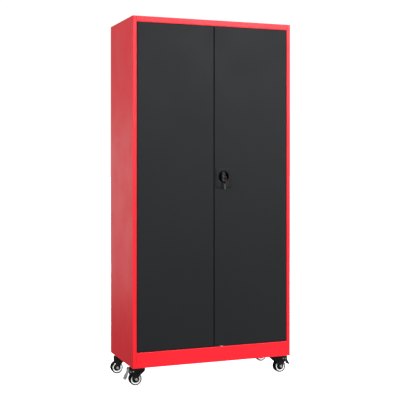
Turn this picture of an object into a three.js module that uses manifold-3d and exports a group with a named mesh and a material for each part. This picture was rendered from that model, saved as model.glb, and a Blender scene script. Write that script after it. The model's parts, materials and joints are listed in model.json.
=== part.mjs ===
import * as THREE from "three";
import { mergeVertices } from "three/addons/utils/BufferGeometryUtils.js";
import Module from "manifold-3d";

// Rolling storage cabinet: a folded sheet steel body with two hinged doors, a turn handle lock with
// two rods, four shelves on slotted posts and four swivel casters, the front pair with brakes.
// Millimetres, +Z up, the doors face -Y. Body pieces are drawn from the centre of the body's
// underside and the whole is then raised onto its casters.

const solids = await Module();
solids.setup();

// Body
const bodyWidth = 900;
const bodyDepth = 400;
const bodyHeight = 1800;
const casterHeight = 100;
const sheet = 0.8;
const bendRadius = 1.2;
const seat = 0.3;
const weld = 0.2;
const overrun = 4;

// Front frame
const stileWidth = 21;
const stileReturn = 22;
const headerHeight = 28;
const kickHeight = 79;
const frameLedge = 34;
const frameLip = 12;
const rearFlange = 20;

// Base rails that carry the casters
const railGauge = 1.2;
const railHeight = 25;
const railOverhang = 39;

// Shelf posts with their clips
const postWidth = 30;
const postDepth = 14;
const postGauge = 1.2;
const frontPostSetback = 36;
const rearPostSetback = 10;
const notchGap = 0.5;
const slotPitch = 87.5;
const slotWidth = 5;
const slotHeight = 14;
const clipReach = 12;
const clipWidth = 20;
const clipDrop = 18;
const clipGauge = 2;

// Shelves
const shelfCount = 4;
const slotsPerShelf = 4;
const shelfFold = 25;
const shelfReturn = 12;
const shelfFrontSetback = 39;
const shelfRearSetback = 10;
const shelfEndGap = 0.5;

// Doors
const doorSideGap = 2.5;
const doorTopGap = 3;
const doorBottomGap = 4;
const doorSplit = 4;
const doorDepth = 18;
const doorReturn = 12;
const hingeInset = 12;
const hingeSetback = 6;
const pinRadius = 3;
const pinReach = 14;
const pinCollarRadius = 5;
const runningGap = 0.3;
const stiffenerWidth = 70;
const stiffenerFoot = 14;
const stiffenerDepth = 14;
const stiffenerEndGap = 30;

// Lock plate, cup and turn handle
const lockX = 53;
const lockZ = 976;
const plateWidth = 92;
const plateHeight = 104;
const plateShift = 3;
const plateSag = 7;
const plateCorner = 9;
const plateThickness = 3.2;
const cupRadius = 28;
const cupWall = 2.5;
const cupDepth = 14;
const cupFloor = 3;
const sleeveRadius = 11;
const sleeveEnd = 19;
const gripWidth = 20;
const gripLength = 50;
const gripProud = 3.5;
const discThickness = 3.5;
const spindleRadius = 7;
const spindleTipRadius = 4.5;

// Key cylinder, keys and their ring
const plugRadius = 6.5;
const plugProud = 4.3;
const plugLength = 17;
const keywayWidth = 2.6;
const keywayHeight = 8.6;
const keywayDepth = 14;
const bowLength = 18;
const bowHeight = 22;
const bowThickness = 3;
const bowStandoff = 1.5;
const bowHoleRadius = 2.2;
const bowHoleInset = 4.5;
const bladeLength = 30;
const bladeHeight = 8;
const bladeThickness = 2;
const bladeCuts = 4;
const cutDepth = 1.6;
const ringRadius = 11;
const ringWire = 0.7;

// Lock cam and rods
const camRadius = 20;
const camThickness = 2.5;
const camGap = 0.5;
const tongueReach = 71;
const tongueWidth = 12;
const studCircleRadius = 14;
const studRadius = 2.5;
const studTip = 1.2;
const rodWidth = 10;
const rodThickness = 3;
const rodHeadReach = 8;
const rodSlotWall = 2.5;
const rodSlotHeight = 6.6;
const rodEndSetback = 9;
const jogStart = 60;
const jogLength = 30;
const rodTipProud = 1;
const guideWidth = 17;
const guideDepth = 13;
const guideCollar = 2.4;
const guideNeck = 6;
const guideWall = 2;

// Casters: the trail is the axle's distance from the swivel axis
const frontInset = 57;
const rearInset = 38;
const frontAxisSetback = 67;
const rearAxisSetback = 65;
const trail = 24;
const mountLength = 68;
const mountWidth = 56;
const mountThickness = 3;
const mountSlotWidth = 7;
const mountSlotLength = 11;
const mountSlotEdge = 9;
const raceRadius = 20;
const raceHeight = 5;
const raceGap = 0.5;
const kingpinRadius = 5;
const kingpinHeadRadius = 8;
const kingpinHeadHeight = 3.5;
const forkGauge = 3;
const forkInnerWidth = 34;
const forkFront = 19;
const forkBack = 46;
const forkBrakeBack = 63;
const forkBrakeDrop = 30;
const forkBossRadius = 12;
const forkShoulder = 13;
const forkWaist = 36;
const wheelRadius = 32.5;
const wheelWidth = 30;
const tyreRadius = 28;
const tyreCrown = 2;
const rimRadius = 18.8;
const rimDish = 1.4;
const hubFaceRadius = 9;
const hubProud = 1.3;
const axleRadius = 4;
const axleHeadRadius = 7;
const axleHeadHeight = 4.5;

// Brake pedals
const pivotTrail = 53;
const pivotDrop = 27;
const stopPinTrail = 39;
const stopPinDrop = 26;
const brakePinRadius = 2.5;
const pedalTopTrail = 59;
const pedalTopDrop = 12;
const pedalTipTrail = 84;
const pedalTipDrop = 66;
const pedalGauge = 3;
const pedalWidth = 32;
const pedalTipWidth = 44;
const pedalTipShare = 0.42;
const pedalCoreWidth = 24;
const pedalEyeRadius = 6;
const shoeGap = 1;
const shoeInnerAngle = THREE.MathUtils.degToRad(54);
const shoeOuterAngle = THREE.MathUtils.degToRad(42);

// Facets
const bendSteps = 2;
const wheelFacets = 24;
const lockFacets = 20;
const raceFacets = 14;
const pinFacets = 10;
const wireFacets = 6;

// Places that follow from the sizes above
const front = -bodyDepth / 2;
const back = bodyDepth / 2;
const side = bodyWidth / 2;
const opening = side - stileWidth;
const headerZ = bodyHeight - headerHeight;
const panelTop = bodyHeight - sheet - seat;
const innerSide = side - sheet - seat;
const backPanelY = back - sheet - seat;
const innerBack = backPanelY - sheet - seat;
const frontPostY = front + frontPostSetback;
const rearPostY = innerBack - rearPostSetback - postWidth;
const doorOuter = opening - doorSideGap;
const doorInner = doorSplit / 2;
const doorBottom = kickHeight + doorBottomGap;
const doorTop = headerZ - doorTopGap;
const hingeX = doorOuter - hingeInset;
const hingeY = front + hingeSetback;
const plateCentreZ = lockZ - plateSag;
const plateBack = front - seat;
const plateFront = plateBack - plateThickness;
const cupBack = front + cupDepth + cupFloor;
const plugFront = front - plugProud;
const plugBack = plugFront + plugLength;
const spindleEnd = front + sleeveEnd;
const camFront = spindleEnd + camGap;
const camBack = camFront + camThickness;
const rodFront = camBack + camGap;
const rodEndFront = front + rodEndSetback - rodThickness / 2;
const studOffset = studCircleRadius * Math.SQRT1_2;
const studSwing = studCircleRadius - studOffset;
const guideHalfNeck = rodWidth / 2 + guideWall;
const guideHalfNeckDepth = rodThickness / 2 + guideWall;
const keyFront = front - plugProud - bowStandoff;
const keyTip = keyFront - bowLength;
const ringY = keyTip + bowHoleInset;
const ringTopZ = lockZ - bowHoleRadius + ringWire + seat;
const ringBottomZ = ringTopZ - 2 * ringRadius;
const spareHoleZ = ringBottomZ - bowHoleRadius + ringWire + seat;
const outerFront = ringY - bowHeight / 2;
const depthCentreShift = (front - outerFront) / 2;
const mountTop = -seat;
const mountBottom = mountTop - mountThickness;
const raceTop = mountBottom - raceGap;
const crownTop = raceTop - raceHeight;
const crownBottom = crownTop - forkGauge;
const axleZ = wheelRadius * Math.cos(Math.PI / wheelFacets) - casterHeight;
const legInner = forkInnerWidth / 2;
const legOuter = legInner + forkGauge;

// Paints, plastics and metals
const finish = (color, roughness, metalness) => (
  new THREE.MeshStandardMaterial({ color, roughness, metalness })
);
const redPaint = finish(0xd8202c, 0.45, 0.1);
const charcoalPaint = finish(0x35373a, 0.55, 0.1);
const blackPlastic = finish(0x17181a, 0.5, 0);
const blackSteel = finish(0x1c1d1f, 0.4, 0.5);
const zincSteel = finish(0xb4b6b8, 0.35, 0.9);
const tyreRubber = finish(0x121212, 0.7, 0);
const whiteNylon = finish(0xf0f0ee, 0.5, 0);
const pedalSteel = finish(0x8b898c, 0.4, 0.6);

// Closed solid from a three.js geometry
function solidOf(geometry) {
  geometry.deleteAttribute("normal");
  geometry.deleteAttribute("uv");
  const merged = mergeVertices(geometry);
  const corners = merged.getIndex().array;
  const triangles = [];
  for (let i = 0; i < corners.length; i += 3) {
    const [a, b, c] = corners.slice(i, i + 3);
    if (a !== b && b !== c && c !== a) triangles.push(a, b, c);
  }
  const mesh = new solids.Mesh({
    numProp: 3,
    vertProperties: new Float32Array(merged.getAttribute("position").array),
    triVerts: new Uint32Array(triangles),
  });
  return new solids.Manifold(mesh);
}

// Named mesh from a closed solid
function piece(name, solid, material) {
  const mesh = solid.getMesh();
  const geometry = new THREE.BufferGeometry();
  geometry.setAttribute("position", new THREE.BufferAttribute(mesh.vertProperties, 3));
  geometry.setIndex(new THREE.BufferAttribute(mesh.triVerts, 1));
  const flat = geometry.toNonIndexed();
  flat.computeVertexNormals();
  const result = new THREE.Mesh(flat, material);
  result.name = name;
  return result;
}

function joined(first, ...others) {
  return others.reduce((sum, other) => sum.add(other), first);
}

function cut(solid, ...cutters) {
  return cutters.reduce((rest, cutter) => rest.subtract(cutter), solid);
}

function block(x0, x1, y0, y1, z0, z1) {
  const box = new THREE.BoxGeometry(Math.abs(x1 - x0), Math.abs(y1 - y0), Math.abs(z1 - z0));
  box.translate((x0 + x1) / 2, (y0 + y1) / 2, (z0 + z1) / 2);
  return solidOf(box);
}

// Prisms: a flat outline drawn in two axes and carried along the third
function prism(outline, start, end, turn) {
  const shape = outline instanceof THREE.Shape ? outline : new THREE.Shape(outline);
  const options = { depth: end - start, bevelEnabled: false, curveSegments: bendSteps };
  const geometry = new THREE.ExtrudeGeometry(shape, options);
  geometry.translate(0, 0, start);
  if (turn) geometry.applyMatrix4(turn);
  return solidOf(geometry);
}

const xAxis = new THREE.Vector3(1, 0, 0);
const yAxis = new THREE.Vector3(0, 1, 0);
const zAxis = new THREE.Vector3(0, 0, 1);
const ontoX = new THREE.Matrix4().makeBasis(yAxis, zAxis, xAxis);
const ontoY = new THREE.Matrix4().makeBasis(xAxis, zAxis, yAxis.clone().negate());

const prismX = (outline, x0, x1) => prism(outline, x0, x1, ontoX);
const prismY = (outline, y0, y1) => prism(outline, -y1, -y0, ontoY);
const prismZ = (outline, z0, z1) => prism(outline, z0, z1, null);

const points = (...pairs) => pairs.map(([u, v]) => new THREE.Vector2(u, v));
const mirrored = (outline) => outline.map((point) => new THREE.Vector2(-point.x, point.y));

// Turned solid: the profile is radius and height, running anticlockwise, with a flat facet below
function revolve(profile, facets, alongZ) {
  const closed = profile[0][0] === 0 ? profile : [...profile, profile[0]];
  const geometry = new THREE.LatheGeometry(points(...closed), facets, Math.PI / facets);
  if (alongZ) geometry.rotateX(Math.PI / 2);
  return solidOf(geometry);
}

function rod(radius, low, high, facets, alongZ) {
  return revolve([[0, low], [radius, low], [radius, high], [0, high]], facets, alongZ);
}

// The two faces of a folded sheet whose outer face follows the path; 1 puts the metal on its left
function foldedFaces(path, gauge, hand) {
  const outer = [];
  const inner = [];
  const leftOf = (along) => new THREE.Vector2(-along.y, along.x);
  path.forEach((point, i) => {
    const entering = i > 0 ? point.clone().sub(path[i - 1]).normalize() : null;
    const leaving = i < path.length - 1 ? path[i + 1].clone().sub(point).normalize() : null;
    if (!entering || !leaving) {
      const across = leftOf(entering ?? leaving).multiplyScalar(hand * gauge);
      outer.push(point.clone());
      inner.push(point.clone().add(across));
      return;
    }
    const turn = Math.atan2(entering.cross(leaving), entering.dot(leaving));
    const way = Math.sign(turn);
    const outerRadius = way === hand ? bendRadius + gauge : bendRadius;
    const innerRadius = way === hand ? bendRadius : bendRadius + gauge;
    const setback = outerRadius * Math.tan(Math.abs(turn) / 2);
    const centre = point.clone().addScaledVector(entering, -setback);
    centre.addScaledVector(leftOf(entering), way * outerRadius);
    for (let step = 0; step <= bendSteps; step += 1) {
      const radial = leftOf(entering).multiplyScalar(-way);
      radial.rotateAround(new THREE.Vector2(), turn * step / bendSteps);
      outer.push(centre.clone().addScaledVector(radial, outerRadius));
      inner.push(centre.clone().addScaledVector(radial, innerRadius));
    }
  });
  return { outer, inner };
}

function foldedOutline(path, gauge, hand) {
  const faces = foldedFaces(path, gauge, hand);
  return [...faces.outer, ...faces.inner.reverse()];
}

const signed = (outline, way) => (way < 0 ? outline : mirrored(outline));

// Side panel: outer sheet with the front stile and the rear flange folded from it
function sidePanel(name, way) {
  const path = points(
    [-side + rearFlange, back],
    [-side, back],
    [-side, front],
    [-opening, front],
    [-opening, front + stileReturn],
  );
  const outline = signed(foldedOutline(path, sheet, 1), way);
  return piece(name, prismZ(outline, 0, panelTop), redPaint);
}

function backPanel() {
  const reach = innerSide - bendRadius;
  const solid = block(-reach, reach, backPanelY - sheet, backPanelY, 0, panelTop - bendRadius);
  return piece("back_panel", solid, redPaint);
}

// Upright slots in a ledge for the rods, and round holes for the hinge pins
function ledgeHoles(z) {
  const pinHoles = [-hingeX, hingeX].map((x) => pinHole(x, z));
  const rodHoles = [lockX - studOffset, lockX + studOffset].map((x) => rodHole(x, z));
  return { pinHoles, rodHoles };
}

function pinHole(x, z) {
  const hole = rod(pinRadius + runningGap, z - overrun, z + overrun, pinFacets, true);
  return hole.translate(x, hingeY, 0);
}

function rodHole(x, z) {
  const halfWidth = rodWidth / 2 + 1.5 * seat;
  const halfDepth = rodThickness / 2 + 1.5 * seat;
  const y = front + rodEndSetback;
  return block(x - halfWidth, x + halfWidth, y - halfDepth, y + halfDepth, z - overrun, z + overrun);
}

// Top panel: the roof sheet, with the header rail folded under it between the stiles
function topPanel() {
  const path = points(
    [back, bodyHeight - rearFlange],
    [back, bodyHeight],
    [front, bodyHeight],
    [front, headerZ],
    [front + frameLedge, headerZ],
    [front + frameLedge, headerZ + frameLip],
  );
  const reach = opening - seat;
  const header = prismX(foldedOutline(path, sheet, 1), -reach, reach);
  const roof = block(-side, side, front + bendRadius, back - bendRadius, bodyHeight - sheet, bodyHeight);
  const { pinHoles, rodHoles } = ledgeHoles(headerZ);
  return piece("top_panel", cut(joined(header, roof), ...pinHoles, rodHoles[1]), redPaint);
}

// Kick panel: the deep lower rail of the front frame, with a ledge under the doors and closed ends
function kickPanel() {
  const path = points(
    [front, 0],
    [front, kickHeight],
    [front + frameLedge, kickHeight],
    [front + frameLedge, kickHeight - frameLip],
  );
  const reach = opening - seat;
  const rail = prismX(foldedOutline(path, sheet, -1), -reach, reach);
  const endTab = (x0, x1) => block(
    x0, x1,
    front + sheet - weld, front + frameLedge - sheet + weld,
    railHeight + seat, kickHeight - sheet + weld,
  );
  const closed = joined(rail, endTab(-reach, sheet - reach), endTab(reach - sheet, reach));
  const { pinHoles, rodHoles } = ledgeHoles(kickHeight);
  return piece("kick_panel", cut(closed, ...pinHoles, rodHoles[0]), redPaint);
}

// Floor panel: folded down at front and back, and notched at its ends for the shelf posts
function floorPanel() {
  const near = front + frameLedge + seat;
  const path = points(
    [near, kickHeight - shelfFold],
    [near, kickHeight],
    [innerBack, kickHeight],
    [innerBack, kickHeight - shelfFold],
  );
  const deck = prismX(foldedOutline(path, sheet, -1), -innerSide, innerSide);
  return piece("floor_panel", cut(deck, ...postNotches()), redPaint);
}

function postNotches() {
  const reach = innerSide - postDepth - notchGap;
  const rows = [
    [front, frontPostY + postWidth + notchGap],
    [rearPostY - notchGap, rearPostY + postWidth + notchGap],
  ];
  return rows.flatMap(([y0, y1]) => [-1, 1].map((way) => (
    block(way * reach, way * side, y0, y1, 0, kickHeight + overrun)
  )));
}

// Base rails: upturned channels under the body that the caster plates bolt to
function baseRail(name, y0, y1, reach) {
  const path = points([y0, railHeight], [y0, 0], [y1, 0], [y1, railHeight]);
  return piece(name, prismX(foldedOutline(path, railGauge, 1), -reach, reach), redPaint);
}

function frontRail() {
  const y0 = front + sheet + seat;
  return baseRail("front_base_rail", y0, front + frontAxisSetback + railOverhang, opening - seat);
}

function rearRail() {
  return baseRail("rear_base_rail", back - rearAxisSetback - railOverhang, innerBack, innerSide);
}

const shelfTop = (index) => kickHeight + slotPitch * slotsPerShelf * (index + 1);

// Shelf post: a channel on the side panel, slotted above the floor, with a clip below each shelf
function shelfPost(name, xWay, y0) {
  const y1 = y0 + postWidth;
  const middle = (y0 + y1) / 2;
  const face = innerSide - postDepth;
  const path = points([-innerSide, y0], [-face, y0], [-face, y1], [-innerSide, y1]);
  const outline = signed(foldedOutline(path, postGauge, 1), xWay);
  const channel = prismZ(outline, kickHeight - shelfFold, panelTop);
  const slots = [];
  for (let z = kickHeight + slotPitch / 2; z + slotHeight < panelTop; z += slotPitch) {
    slots.push(postSlot(xWay * face, middle, z));
  }
  const clips = [];
  for (let index = 0; index < shelfCount; index += 1) {
    clips.push(shelfClip(xWay, face, middle, shelfTop(index) - shelfFold - seat));
  }
  return piece(name, joined(cut(channel, ...slots), ...clips), redPaint);
}

function postSlot(x, y, z) {
  const half = slotWidth / 2;
  return block(x - overrun, x + overrun, y - half, y + half, z, z + slotHeight);
}

function shelfClip(xWay, face, middle, top) {
  const outline = points(
    [-face - weld, top],
    [-face - weld, top - clipDrop],
    [-face + clipGauge, top - clipDrop],
    [-face + clipGauge, top - clipGauge],
    [-face + clipReach, top - clipGauge],
    [-face + clipReach, top],
  );
  return prismY(signed(outline, xWay), middle - clipWidth / 2, middle + clipWidth / 2);
}

// Shelf: a sheet with boxed front and back edges and plain turned-down ends
function shelf(index) {
  const top = shelfTop(index);
  const low = top - shelfFold;
  const y0 = front + shelfFrontSetback;
  const y1 = innerBack - shelfRearSetback;
  const reach = innerSide - postDepth - shelfEndGap;
  const path = points(
    [y0 + shelfReturn, low],
    [y0, low],
    [y0, top],
    [y1, top],
    [y1, low],
    [y1 - shelfReturn, low],
  );
  const deck = prismX(foldedOutline(path, sheet, -1), -reach, reach);
  const filled = foldedFaces(path, sheet, -1).outer;
  const ends = [prismX(filled, -reach, sheet - reach), prismX(filled, reach - sheet, reach)];
  return piece(`shelf_${index + 1}`, joined(deck, ...ends), charcoalPaint);
}

// Door panel: a shallow tray of folded sheet, its edges turned back and in
function doorTray(way) {
  const rear = front + doorDepth;
  const path = points(
    [-doorOuter + doorReturn, rear],
    [-doorOuter, rear],
    [-doorOuter, front],
    [-doorInner, front],
    [-doorInner, rear],
    [-doorInner - doorReturn, rear],
  );
  const outline = signed(foldedOutline(path, sheet, 1), way);
  const filled = signed(foldedFaces(path, sheet, 1).outer, way);
  const lipStart = way * (doorOuter - doorReturn + weld);
  const lipEnd = way * (doorInner + doorReturn - weld);
  const lip = (z0, z1) => block(lipStart, lipEnd, rear - sheet, rear, z0, z1);
  const pinHoles = [doorBottom, doorTop].map((z) => pinHole(way * hingeX, z));
  const tray = joined(
    prismZ(outline, doorBottom, doorTop),
    prismZ(filled, doorBottom, doorBottom + sheet),
    prismZ(filled, doorTop - sheet, doorTop),
    lip(doorBottom, doorBottom + doorReturn),
    lip(doorTop - doorReturn, doorTop),
  );
  return cut(tray, ...pinHoles);
}

function leftDoor() {
  return piece("left_door_panel", doorTray(-1), charcoalPaint);
}

function rightDoor() {
  const cupHole = rod(cupRadius + cupWall + seat, front - overrun, front + overrun, lockFacets, false);
  const guideHole = block(
    lockX - studOffset - guideHalfNeck, lockX - studOffset + guideHalfNeck,
    front + rodEndSetback - guideHalfNeckDepth, front + rodEndSetback + guideHalfNeckDepth,
    doorBottom - overrun, doorBottom + overrun,
  );
  const holes = [
    cupHole.translate(lockX, 0, lockZ),
    rodHole(lockX + studOffset, doorTop),
    guideHole,
  ];
  return piece("right_door_panel", cut(doorTray(1), ...holes), charcoalPaint);
}

// Stiffener: a hat channel behind the middle of each door
function doorStiffener(name, way) {
  const middle = (doorOuter + doorInner) / 2;
  const half = stiffenerWidth / 2;
  const base = front + sheet + seat;
  const path = points(
    [-middle - half, base],
    [-middle - half + stiffenerFoot, base],
    [-middle - half + stiffenerFoot, base + stiffenerDepth],
    [-middle + half - stiffenerFoot, base + stiffenerDepth],
    [-middle + half - stiffenerFoot, base],
    [-middle + half, base],
  );
  const outline = signed(foldedOutline(path, sheet, 1), way);
  const solid = prismZ(outline, doorBottom + stiffenerEndGap, doorTop - stiffenerEndGap);
  return piece(name, solid, charcoalPaint);
}

// Hinge pin: a headed pin through the frame's ledge and the door's edge, its collar in the gap
function hingePin(name, xWay, low) {
  const gapLow = low ? kickHeight : doorTop;
  const gapHigh = low ? doorBottom : headerZ;
  const profile = [
    [0, gapLow - pinReach],
    [pinRadius, gapLow - pinReach],
    [pinRadius, gapLow + seat],
    [pinCollarRadius, gapLow + seat],
    [pinCollarRadius, gapHigh - seat],
    [pinRadius, gapHigh - seat],
    [pinRadius, gapHigh + pinReach],
    [0, gapHigh + pinReach],
  ];
  return piece(name, revolve(profile, pinFacets, true).translate(xWay * hingeX, hingeY, 0), zincSteel);
}

// Lock housing: a rounded plate with a round cup through the door and a sleeve for the spindle
function lockHousing() {
  const left = lockX + plateShift - plateWidth / 2;
  const low = plateCentreZ - plateHeight / 2;
  const outline = roundedRectangle(left, low, plateWidth, plateHeight, plateCorner);
  const plate = prismY(outline, plateFront, plateBack);
  const cup = rod(cupRadius + cupWall, plateFront, cupBack, lockFacets, false);
  const sleeve = rod(sleeveRadius, cupBack - weld, spindleEnd, lockFacets, false);
  const recess = rod(cupRadius, plateFront - overrun, front + cupDepth, lockFacets, false);
  const bore = rod(spindleRadius + runningGap, front, spindleEnd + overrun, lockFacets, false);
  const place = (solid) => solid.translate(lockX, 0, lockZ);
  const body = joined(plate, place(cup), place(sleeve));
  return piece("lock_housing", cut(body, place(recess), place(bore)), blackPlastic);
}

function roundedRectangle(left, low, width, height, corner) {
  const shape = new THREE.Shape();
  const right = left + width;
  const high = low + height;
  shape.absarc(right - corner, low + corner, corner, -Math.PI / 2, 0);
  shape.absarc(right - corner, high - corner, corner, 0, Math.PI / 2);
  shape.absarc(left + corner, high - corner, corner, Math.PI / 2, Math.PI);
  shape.absarc(left + corner, low + corner, corner, Math.PI, Math.PI * 1.5);
  return shape;
}

// Turn handle: a disc in the cup with an upright grip, bored for the key cylinder
function turnHandle() {
  const discBack = front + cupDepth - seat;
  const half = gripLength / 2 - gripWidth / 2;
  const grip = new THREE.Shape();
  grip.absarc(0, half, gripWidth / 2, 0, Math.PI);
  grip.absarc(0, -half, gripWidth / 2, Math.PI, Math.PI * 2);
  const solid = joined(
    rod(cupRadius - 2 * seat, discBack - discThickness, discBack, lockFacets, false),
    prismY(grip, front - gripProud, discBack - weld),
    rod(plugRadius + cupWall, front - gripProud, discBack - weld, lockFacets, false),
    rod(spindleRadius, discBack - weld, spindleEnd, lockFacets, false),
    rod(spindleTipRadius, spindleEnd - weld, camBack, lockFacets, false),
  );
  const bore = rod(plugRadius + runningGap, front - overrun, plugBack + seat, lockFacets, false);
  return piece("turn_handle", cut(solid, bore).translate(lockX, 0, lockZ), blackPlastic);
}

function keyCylinder() {
  const plug = rod(plugRadius, plugFront, plugBack, lockFacets, false);
  const halfWidth = keywayWidth / 2;
  const halfHeight = keywayHeight / 2;
  const keyway = block(
    -halfWidth, halfWidth,
    plugFront - overrun, plugFront + keywayDepth,
    -halfHeight, halfHeight,
  );
  return piece("key_cylinder", cut(plug, keyway).translate(lockX, 0, lockZ), zincSteel);
}

// Key drawn along +Y from the far end of its bow, lying in the upright plane
function keySolid(reach) {
  const bow = new THREE.Shape();
  bow.absellipse(bowLength / 2, 0, bowLength / 2, bowHeight / 2, 0, Math.PI * 2);
  const hole = new THREE.Path();
  hole.absarc(bowHoleInset, 0, bowHoleRadius, 0, Math.PI * 2);
  bow.holes.push(hole);
  const bowOptions = { depth: bowThickness, bevelEnabled: false, curveSegments: lockFacets / 2 };
  const bowGeometry = new THREE.ExtrudeGeometry(bow, bowOptions);
  bowGeometry.translate(0, 0, -bowThickness / 2);
  bowGeometry.applyMatrix4(ontoX);
  return solidOf(bowGeometry).add(bladeSolid(reach));
}

// Blade with a row of cuts along its lower edge
function bladeSolid(reach) {
  const start = bowLength - bowHoleInset;
  const end = bowLength + reach;
  const high = bladeHeight / 2;
  const pitch = reach / (bladeCuts + 1);
  const outline = [[start, high], [start, -high]];
  for (let index = 1; index <= bladeCuts; index += 1) {
    const at = bowLength + index * pitch;
    outline.push([at - pitch / 2, -high], [at, -high + cutDepth]);
  }
  outline.push([end - cutDepth, -high], [end, -high + cutDepth], [end, high]);
  return prismX(points(...outline), -bladeThickness / 2, bladeThickness / 2);
}

function insertedKey() {
  const reach = bowStandoff + keywayDepth - 2 * seat;
  return piece("inserted_key", keySolid(reach).translate(lockX, keyTip, lockZ), blackPlastic);
}

// Ring of bent wire that hangs through the bow's hole
function keyRing() {
  const ring = new THREE.TorusGeometry(ringRadius, ringWire, wireFacets, lockFacets);
  ring.rotateX(Math.PI / 2);
  const solid = solidOf(ring).translate(lockX, ringY, ringTopZ - ringRadius);
  return piece("key_ring", solid, zincSteel);
}

function spareKey() {
  const solid = keySolid(bladeLength).translate(0, -bowHoleInset, 0).rotate([-90, 0, 0]);
  return piece("spare_key", solid.translate(lockX, ringY, spareHoleZ), blackPlastic);
}

// Lock cam: a disc on the spindle's end with a latch tongue and a stud for each rod
function lockCam() {
  const tongue = block(-tongueWidth / 2, tongueWidth / 2, camFront, camBack, 0, tongueReach);
  const studEnd = rodFront + rodThickness + studTip;
  const stud = (x, z) => (
    rod(studRadius, camBack - weld, studEnd, pinFacets, false).translate(x, 0, z)
  );
  const solid = joined(
    rod(camRadius, camFront, camBack, lockFacets, false),
    tongue,
    stud(studOffset, -studOffset),
    stud(-studOffset, studOffset),
  );
  const bore = rod(spindleTipRadius + seat, camFront - overrun, camBack + overrun, lockFacets, false);
  return piece("lock_cam", cut(solid, bore).translate(lockX, 0, lockZ), zincSteel);
}

// The stud swings out to its full circle half way, so each rod's slot is longer on that side
const rodSlotLeft = (way) => studRadius + 2 * seat + (way > 0 ? 0 : studSwing);

// Lock rod: a flat bar from its stud to the door's end, stepped forward into the door's edge
function lockRod(name, way) {
  const studZ = lockZ - way * studOffset;
  const x = lockX + way * studOffset;
  const end = way > 0 ? doorTop + rodTipProud : doorBottom - rodTipProud;
  const path = points(
    [rodFront, studZ - way * rodHeadReach],
    [rodFront, end - way * (jogStart + jogLength)],
    [rodEndFront, end - way * jogStart],
    [rodEndFront, end],
  );
  const bar = prismX(foldedOutline(path, rodThickness, -way), x - rodWidth / 2, x + rodWidth / 2);
  const head = block(
    x - rodSlotLeft(way) - rodSlotWall, x + rodSlotLeft(-way) + rodSlotWall,
    rodFront, rodFront + rodThickness,
    studZ - rodHeadReach, studZ + rodHeadReach,
  );
  const slot = block(
    x - rodSlotLeft(way), x + rodSlotLeft(-way),
    rodFront - overrun, rodFront + rodThickness + overrun,
    studZ - rodSlotHeight / 2, studZ + rodSlotHeight / 2,
  );
  return piece(name, cut(joined(bar, head), slot), zincSteel);
}

// Rod guide: a nylon bush in the door's lower edge, its collar just below the door
function rodGuide() {
  const x = lockX - studOffset;
  const y = front + rodEndSetback;
  const collar = block(
    x - guideWidth / 2, x + guideWidth / 2,
    y - guideDepth / 2, y + guideDepth / 2,
    doorBottom - seat - guideCollar, doorBottom - seat,
  );
  const neckWidth = guideHalfNeck - seat;
  const neckDepth = guideHalfNeckDepth - seat;
  const neck = block(
    x - neckWidth, x + neckWidth,
    y - neckDepth, y + neckDepth,
    doorBottom - seat - weld, doorBottom + guideNeck,
  );
  const bore = block(
    x - rodWidth / 2 - seat, x + rodWidth / 2 + seat,
    y - rodThickness / 2 - seat, y + rodThickness / 2 + seat,
    doorBottom - overrun, doorBottom + guideNeck + overrun,
  );
  return piece("lower_rod_guide", cut(joined(collar, neck), bore), whiteNylon);
}

// Caster plate with its kingpin, whose head holds the fork up
function casterPlate(name) {
  const half = mountLength / 2;
  const plate = roundedRectangle(-half, -mountWidth / 2, mountLength, mountWidth, raceHeight);
  const reach = half - mountSlotEdge;
  const across = mountWidth / 2 - mountSlotEdge;
  [[-reach, -across], [reach, -across], [reach, across], [-reach, across]].forEach(([x, y]) => {
    plate.holes.push(slotPath(x, y));
  });
  const profile = [
    [0, crownBottom - seat - kingpinHeadHeight],
    [kingpinHeadRadius, crownBottom - seat - kingpinHeadHeight],
    [kingpinHeadRadius, crownBottom - seat],
    [kingpinRadius, crownBottom - seat],
    [kingpinRadius, mountBottom + weld],
    [0, mountBottom + weld],
  ];
  const kingpin = revolve(profile, pinFacets, true);
  return piece(name, joined(prismZ(plate, mountBottom, mountTop), kingpin), blackSteel);
}

function slotPath(x, y) {
  const radius = mountSlotWidth / 2;
  const run = mountSlotLength / 2 - radius;
  const path = new THREE.Path();
  path.absarc(x + run, y, radius, -Math.PI / 2, Math.PI / 2);
  path.absarc(x - run, y, radius, Math.PI / 2, Math.PI * 1.5);
  return path;
}

// One leg of the fork seen from its side, with the trailing edge drawn back to carry a brake
function forkLeg(braked, y0) {
  const leg = new THREE.Shape();
  const rear = braked ? forkBrakeBack : forkBack;
  const lean = Math.PI / 5;
  leg.moveTo(-forkFront, crownBottom);
  leg.lineTo(-forkFront, crownTop);
  leg.lineTo(rear, crownTop);
  if (braked) {
    leg.lineTo(rear, crownTop - forkBrakeDrop);
    leg.lineTo(rear - forkShoulder, crownTop - forkBrakeDrop);
  } else {
    leg.lineTo(rear, crownBottom - forkShoulder);
  }
  leg.absarc(trail, axleZ, forkBossRadius, 0, -Math.PI - lean, true);
  leg.lineTo(trail - forkFront, crownBottom - forkWaist + forkGauge);
  leg.lineTo(-forkFront, crownBottom - forkShoulder);
  return prismY(leg, y0, y0 + forkGauge);
}

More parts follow.
